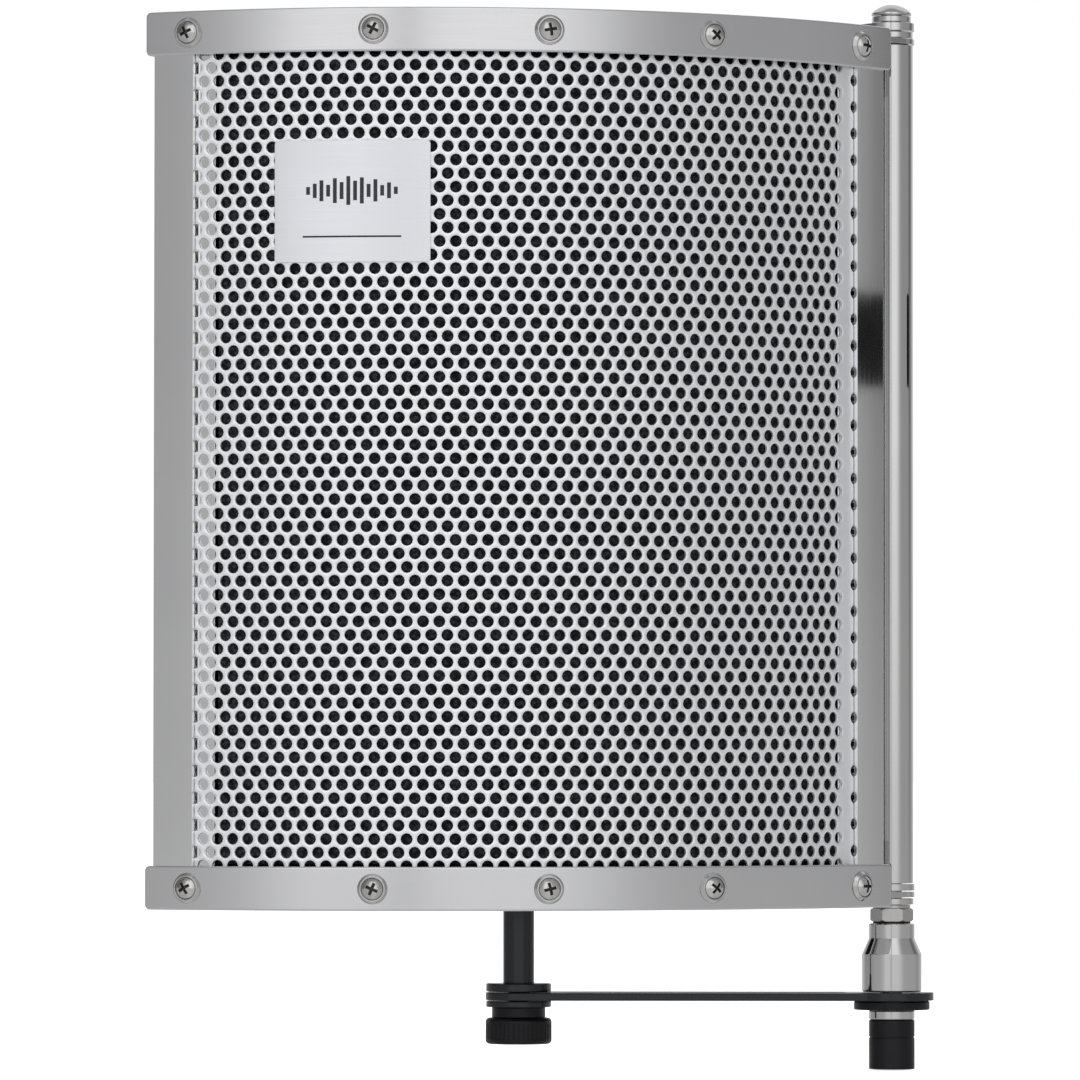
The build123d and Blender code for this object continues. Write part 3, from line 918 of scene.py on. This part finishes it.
# ------------------------------------------------------------------ label
@dataclass
class LabelMark:
    """A generic printed mark on the blank label plate: a row of level bars and a rule.

    Args:
        arc: The front leaf's plan.
        node: The label plate's CAD node.
        body: The body that it rides on.
    """

    arc: LeafArc
    node: str
    body: str
    face_radius: float = 223.07 * MM
    middle_degrees: float = -19.7
    bar_width: float = 1.5 * MM
    bar_gap: float = 2.6 * MM
    bar_heights: tuple[float, ...] = (
        3.0, 5.5, 8.0, 4.5, 9.5, 6.5, 11.0, 7.5, 10.0, 5.0, 8.5, 4.0, 6.0, 2.8)
    bar_z: float = 4.0 * MM
    rule_z: float = -13.5 * MM
    rule_size: tuple[float, float] = (38.0 * MM, 0.7 * MM)
    ink_span: tuple[float, float] = (0.03 * MM, -0.03 * MM)
    longest_step: float = 3.0 * MM

    def build(self, finishes: Finishes) -> bpy.types.Object:
        """Builds the mark.

        Args:
            finishes: The finishes.

        Returns:
            The piece.
        """
        low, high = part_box(self.node)
        middle = (low[2] + high[2]) / 2
        shape = bmesh.new()
        count = len(self.bar_heights)
        for index, height in enumerate(self.bar_heights):
            along = (index - (count - 1) / 2) * self.bar_gap
            self.patch(shape, along, middle + self.bar_z, self.bar_width, height * MM)
        self.patch(shape, 0.0, middle + self.rule_z, *self.rule_size)
        piece = mesh_piece("label_mark", shape, finishes["ink"])
        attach(piece, self.body)
        return piece

    def patch(self, shape: bmesh.types.BMesh, along: float, z: float, width: float, height: float) -> None:
        """Adds one thin printed rectangle that follows the plate's curve.

        Args:
            shape: The bmesh to add to.
            along: Its middle along the plate.
            z: Its middle height.
            width: Its width.
            height: Its height.
        """
        steps = max(1, round(width / self.longest_step))
        over, under = self.ink_span
        columns = []
        for index in range(steps + 1):
            u = along - width / 2 + width * index / steps
            degrees = self.middle_degrees + math.degrees(u / self.face_radius)
            column = []
            for lift, level in ((over, -0.5), (over, 0.5), (under, 0.5), (under, -0.5)):
                point = self.arc.point(self.face_radius + lift, degrees, z + level * height)
                column.append(shape.verts.new(point))
            columns.append(column)
        for first, second in zip(columns, columns[1:]):
            for index in range(4):
                after = (index + 1) % 4
                shape.faces.new((first[index], first[after], second[after], second[index]))
        shape.faces.new(columns[0])
        shape.faces.new(list(reversed(columns[-1])))


# ------------------------------------------------------------------ turned and threaded pieces
@dataclass
class Thread:
    """A turned stud with a real helical thread.

    Args:
        node: The CAD node that it stands for.
        body: The body that it rides on.
        major: The radius over the crests.
        depth: How deep the thread is.
        pitch: The rise of one turn.
    """

    node: str
    body: str
    major: float = 7.94 * MM
    depth: float = 0.55 * MM
    pitch: float = 0.94 * MM
    neck: float = 5.1 * MM
    neck_radius: float = 7.3 * MM
    shoulder: float = 0.1 * MM
    lead: float = 0.8 * MM
    sides: int = 48
    per_turn: int = 4
    smooth_degrees: float = 70.0

    def build(self, finishes: Finishes) -> bpy.types.Object:
        """Builds the stud as rings whose radius follows the helix.

        Args:
            finishes: The finishes.

        Returns:
            The piece.
        """
        low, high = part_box(self.node)
        x, y = (low[0] + high[0]) / 2, (low[1] + high[1]) / 2
        shape = bmesh.new()
        bottom = low[2] + self.neck
        plain = (low[2], bottom - self.shoulder)
        rings = [self.ring(shape, x, y, z, self.neck_radius, None) for z in plain]
        count = int((high[2] - bottom) / self.pitch * self.per_turn)
        for index in range(count + 1):
            z = bottom + (high[2] - bottom) * index / count
            rings.append(self.ring(shape, x, y, z, self.major, high[2]))
        for below, above in zip(rings, rings[1:]):
            for index in range(self.sides):
                after = (index + 1) % self.sides
                shape.faces.new((below[index], below[after], above[after], above[index]))
        shape.faces.new(list(reversed(rings[0])))
        shape.faces.new(rings[-1])
        piece = mesh_piece(self.node + "_cut", shape, finishes["satin_nickel"], self.smooth_degrees)
        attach(piece, self.body)
        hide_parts(self.node)
        return piece

    def ring(self, shape: bmesh.types.BMesh, x: float, y: float, z: float,
             radius: float, top: float | None) -> list[bmesh.types.BMVert]:
        """Adds one ring of vertices.

        Args:
            shape: The bmesh to add to.
            x: The axis along X.
            y: The axis along Y.
            z: The ring's height.
            radius: The radius over the crests.
            top: The stud's top, where the thread fades; None for a plain ring.

        Returns:
            The ring's vertices.
        """
        verts = []
        for index in range(self.sides):
            turn = 2 * math.pi * index / self.sides
            reach = radius
            if top is not None:
                phase = (z / self.pitch - index / self.sides) % 1.0
                groove = abs(phase - 0.5) * 2
                fade = min(1.0, max(0.0, (top - z) / self.lead))
                reach -= self.depth * (1 - fade * (1 - groove))
            verts.append(shape.verts.new((x + reach * math.cos(turn), y + reach * math.sin(turn), z)))
        return verts


@dataclass
class RailScrews:
    """The rail screws of one leaf, with painted shade in their cross recesses.

    Args:
        arc: The leaf's plan.
        node: The CAD node that it stands for.
        body: The body that it rides on.
    """

    arc: LeafArc
    node: str
    body: str
    seat_radius: float = 226.0 * MM
    crown: float = 3.2 * MM
    dome_radius: float = 5.37 * MM
    reach: float = 2.7 * MM
    sunk: float = 0.12 * MM
    head_radius: float = 4.1 * MM
    degrees: tuple[float, ...] = (-36.2, -17.5, -0.4, 16.7, 36.0)
    smooth_degrees: float = 30.0

    def build(self, finishes: Finishes) -> bpy.types.Object:
        """Copies the CAD surface and paints shade on the faces inside the recesses.

        Args:
            finishes: The finishes.

        Returns:
            The piece.
        """
        shape = bmesh.new()
        target = frame["nodes"][self.node]
        for holder in [target, *target.children_recursive]:
            if holder.type == "MESH":
                part = holder.data.copy()
                part.transform(holder.matrix_world)
                shape.from_mesh(part)
                bpy.data.meshes.remove(part)
        low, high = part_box(self.node)
        inset = (high[2] - low[2] - 2 * self.head_radius) / 2
        middle = (high[2] + low[2]) / 2
        axes = []
        for degrees in self.degrees:
            for z in (middle - inset, middle + inset):
                outward = self.arc.point(1.0, degrees, z) - self.arc.point(0.0, degrees, z)
                axes.append((self.arc.point(self.seat_radius, degrees, z), outward))
        # Faces inside the cross recesses take the second material, the painted shade.
        for face in shape.faces:
            face.material_index = int(self.is_recess(face.calc_center_median(), axes))
        piece = mesh_piece(self.node + "_heads", shape, finishes["nickel"], self.smooth_degrees)
        piece.data.materials.append(finishes["recess"])
        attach(piece, self.body)
        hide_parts(self.node)
        return piece

    def is_recess(self, point: Vector, axes: list[tuple[Vector, Vector]]) -> bool:
        """Tells whether a face lies below the dome of a screw head.

        Args:
            point: The face's middle.
            axes: The seat and the outward direction of each screw.

        Returns:
            Whether the face is in a cross recess.
        """
        for seat, outward in axes:
            offset = point - seat
            height = offset.dot(outward)
            off_axis = (offset - outward * height).length
            if off_axis < self.reach and height > self.crown / 2:
                dome = self.crown - self.dome_radius + math.sqrt(self.dome_radius**2 - off_axis**2)
                return height < dome - self.sunk
        return False


# ------------------------------------------------------------------ assemblies
@dataclass
class Leaf:
    """One leaf: sheet, foam, rails, side bars, lugs and their fasteners.

    Args:
        name: front or rear.
        side: -1 for the front leaf and 1 for the rear leaf.
    """

    name: str
    side: int

    def build(self, finishes: Finishes) -> None:
        """Builds the leaf's own meshes and dresses its CAD pieces.

        Args:
            finishes: The finishes.
        """
        arc = LeafArc(self.side)
        body = f"{self.name}_leaf"
        sheet = PerforatedSheet(arc, f"{self.name}_perforated_sheet", body).build(finishes)
        log.info("%s: %d faces", sheet.name, len(sheet.data.polygons))
        foam = FoamPad(arc, f"{self.name}_foam_pad", body).build(finishes)
        log.info("%s: %d faces", foam.name, len(foam.data.polygons))
        looks = {
            "top_rail": "rail", "bottom_rail": "rail", "hinge_side_bar": "bar", "free_side_bar": "bar",
            "top_clamp_strip": "zinc", "bottom_clamp_strip": "zinc",
            "cup_washers": "nickel", "top_lug": "chrome", "bottom_lug": "chrome",
        }
        for piece, look in looks.items():
            dress(f"{self.name}_{piece}", finishes[look])
        screws = RailScrews(arc, f"{self.name}_rail_screws", body).build(finishes)
        log.info("%s: %d faces", screws.name, len(screws.data.polygons))
        if self.name == "front":
            dress("front_label_plate", finishes["label"])
            mark = LabelMark(arc, "front_label_plate", body).build(finishes)
            log.info("%s built", mark.name)
        else:
            dress("rear_top_lug_rivets", finishes["nickel"])


@dataclass
class Spine:
    """The post: socket, coupling, nut, rings, sleeve and cap."""

    looks: dict[str, str] = field(default_factory=lambda: {
        "stand_socket": "plastic", "clamp_ring": "chrome", "tie_rod": "zinc", "coupling": "chrome",
        "neck_washer": "plastic", "hex_nut": "satin_nickel", "lower_spacer": "satin_nickel",
        "lower_washer": "chrome", "hinge_sleeve": "chrome", "middle_washer": "chrome",
        "upper_washer": "chrome", "dome_nut": "chrome", "lock_plate": "plastic",
    })

    def build(self, finishes: Finishes) -> None:
        """Dresses the post's pieces.

        Args:
            finishes: The finishes.
        """
        for node, look in self.looks.items():
            dress(node, finishes[look])
        log.info("spine: %d pieces dressed", len(self.looks))


@dataclass
class MicArm:
    """The slotted arm, its sliding carriage with the mic post, and the clamp knob."""

    looks: dict[str, str] = field(default_factory=lambda: {
        "mic_arm": "steel", "carriage_flange": "steel", "mic_post": "steel", "mic_jam_nut": "steel",
        "lower_flange": "steel", "knob_neck": "plastic", "clamp_knob": "plastic",
    })

    def build(self, finishes: Finishes) -> None:
        """Dresses the arm's pieces and cuts the mic thread.

        Args:
            finishes: The finishes.
        """
        for node, look in self.looks.items():
            dress(node, finishes[look])
        stud = Thread("mic_thread", "mic_carriage").build(finishes)
        log.info("%s: %d faces", stud.name, len(stud.data.polygons))


@dataclass
class Studio:
    """The floor, the soft surround, the lamps and the camera.

    Args:
        ramp: The surround's level at each azimuth in degrees, from the front.
        sky: Where the ground veil begins and ends, then the roof veil, with the share of each.
        sky_levels: The grey of the ground veil and of the roof veil.
        softboxes: The name, size, energy and place of each lamp.
        target: The point that the lamps face.
    """

    floor_size: float = 60.0
    floor_gap: float = 0.5 * MM
    floor_glow: float = 0.85
    floor_greys: tuple[float, float] = (0.93, 0.95)
    floor_rough: float = 0.9
    coolness: float = 1.01
    lens: float = 276.56
    place: tuple[float, float, float] = (-0.14229, -3.26517, 0.12466)
    yaw: float = 0.068
    pitch: float = 1.46
    roll: float = 0.0383
    ramp: tuple[tuple[float, float], ...] = (
        (-180, 0.7), (-144, 0.7), (-125, 0.13), (-93, 0.13), (-70, 0.34), (-54, 0.36), (-46, 0.42),
        (-36, 0.62), (-26, 0.98), (-8.5, 0.98), (-7, 0.6), (-2.5, 0.6), (-1, 0.98), (22, 0.98), (32, 0.8),
        (42, 0.5), (51, 0.38), (67, 0.35), (86, 0.35), (100, 0.32), (108, 0.17), (118, 0.2), (130, 0.4),
        (144, 0.71), (180, 0.7),
    )
    sky: tuple[tuple[float, float], ...] = ((-0.06, 0.82), (0.05, 0.0), (0.84, 0.0), (0.95, 0.95))
    sky_levels: tuple[float, float] = (0.5, 0.3)
    softboxes: tuple[tuple, ...] = (
        ("overhead", 3.0, 60.0, (0.0, -0.6, 3.0)),
        ("front_left", 2.0, 44.0, (-2.7, -1.9, 1.2)),
    )
    target: tuple[float, float, float] = (-0.14, 0.0, 0.2)
    flag_x: float = 0.30
    flag_span: tuple[float, float] = (0.281, 0.321)
    flag_depth: tuple[float, float] = (-0.015, 0.085)

    def build(self, finishes: Finishes) -> None:
        """Builds the stage, the light and the camera.

        Args:
            finishes: The finishes.
        """
        self.floor()
        self.surround()
        self.flag(finishes["cloth"])
        self.lamps()
        self.camera()
        log.info("studio built")

    def floor(self) -> None:
        """Lays a plain pale floor just under the socket."""
        shape = bmesh.new()
        half = self.floor_size / 2
        corners = [(-half, -half), (half, -half), (half, half), (-half, half)]
        shape.faces.new([shape.verts.new((x, y, -self.floor_gap)) for x, y in corners])
        mat, n, shader = new_material("pale_floor")
        shader.inputs["Roughness"].default_value = self.floor_rough
        shader.inputs["Specular IOR Level"].default_value = 0.0
        tint = n.mix(n.noise(n.coords(), 3.0), *((grey, grey, grey) for grey in self.floor_greys))
        n.join(tint, shader.inputs["Base Color"])
        n.join(tint, shader.inputs["Emission Color"])
        seen = n.add("ShaderNodeLightPath").outputs["Is Camera Ray"]
        n.join(n.math("MULTIPLY", seen, self.floor_glow), shader.inputs["Emission Strength"])
        floor = mesh_piece("floor", shape, mat)
        floor.visible_glossy = False

    def flag(self, cloth: bpy.types.Material) -> None:
        """Stands a small dark flag beside the post, seen only in the polished bar.

        Args:
            cloth: Its material.
        """
        shape = bmesh.new()
        (near, far), (low, high) = self.flag_depth, self.flag_span
        corners = [(near, low), (far, low), (far, high), (near, high)]
        shape.faces.new([shape.verts.new((self.flag_x, y, z)) for y, z in corners])
        flag = mesh_piece("flag", shape, cloth)
        flag.visible_camera = False
        flag.visible_diffuse = False
        flag.visible_shadow = False

    def surround(self) -> None:
        """Sets the soft surround: white to the eye, graded round the horizon in reflections."""
        world = bpy.data.worlds.new("studio")
        bpy.context.scene.world = world
        world.use_nodes = True
        n = NodeSheet(world.node_tree)
        shade = world.node_tree.nodes["Background"]
        split = n.add("ShaderNodeSeparateXYZ")
        n.join(n.coords("Generated"), split.inputs["Vector"])
        angle = n.math("ARCTAN2", split.outputs["X"], n.math("MULTIPLY", split.outputs["Y"], -1.0))
        ramp = n.add("ShaderNodeValToRGB")
        n.join(n.remap(angle, -math.pi, math.pi), ramp.inputs["Fac"])
        marks = ramp.color_ramp.elements
        while len(marks) > 1:
            marks.remove(marks[-1])
        for index, (place, level) in enumerate(self.ramp):
            mark = marks[0] if index == 0 else marks.new(place)
            mark.position = 0.5 + place / 360
            mark.color = (level, level, level * self.coolness, 1)
        ground, horizon, roof, crown = self.sky
        low_part = n.remap(split.outputs["Z"], ground[0], horizon[0], ground[1], horizon[1])
        high_part = n.remap(split.outputs["Z"], roof[0], crown[0], roof[1], crown[1])
        level = ramp.outputs["Color"]
        for part, grey in zip((low_part, high_part), self.sky_levels):
            level = n.mix(part, level, (grey, grey, grey))
        seen = n.add("ShaderNodeLightPath").outputs["Is Camera Ray"]
        n.join(n.mix(seen, level, (1.0, 1.0, 1.0)), shade.inputs["Color"])

    def lamps(self) -> None:
        """Hangs the large softboxes, which the metals do not mirror."""
        for name, size, energy, place in self.softboxes:
            data = bpy.data.lights.new(name, "AREA")
            data.shape = "RECTANGLE"
            data.size, data.size_y = size, size
            data.energy = energy
            lamp = bpy.data.objects.new(name, data)
            bpy.context.collection.objects.link(lamp)
            aim = (Vector(self.target) - Vector(place)).to_track_quat("-Z", "Y")
            lamp.matrix_world = Matrix.Translation(place) @ aim.to_matrix().to_4x4()
            lamp.visible_glossy = False

    def camera(self) -> None:
        """Sets the camera a few steps away, with a long lens and no depth of field."""
        data = bpy.data.cameras.new("camera")
        data.lens = self.lens
        data.sensor_width = 36.0
        data.clip_end = 200.0
        camera = bpy.data.objects.new("camera", data)
        bpy.context.collection.objects.link(camera)
        yaw, pitch = math.radians(self.yaw), math.radians(self.pitch)
        turn = Matrix.Rotation(-yaw, 4, "Z") @ Matrix.Rotation(math.pi / 2 + pitch, 4, "X")
        turn = turn @ Matrix.Rotation(math.radians(self.roll), 4, "Z")
        camera.matrix_world = Matrix.Translation(self.place) @ turn
        bpy.context.scene.camera = camera


def main() -> None:
    """Builds every assembly in order."""
    logging.basicConfig(level=logging.INFO, format="%(name)s %(message)s")
    bpy.context.scene.view_settings.view_transform = "Standard"
    finishes = Finishes()
    finishes.build()
    Leaf("front", -1).build(finishes)
    Leaf("rear", 1).build(finishes)
    Spine().build(finishes)
    MicArm().build(finishes)
    Studio().build(finishes)


if __name__ == "__main__":
    main()
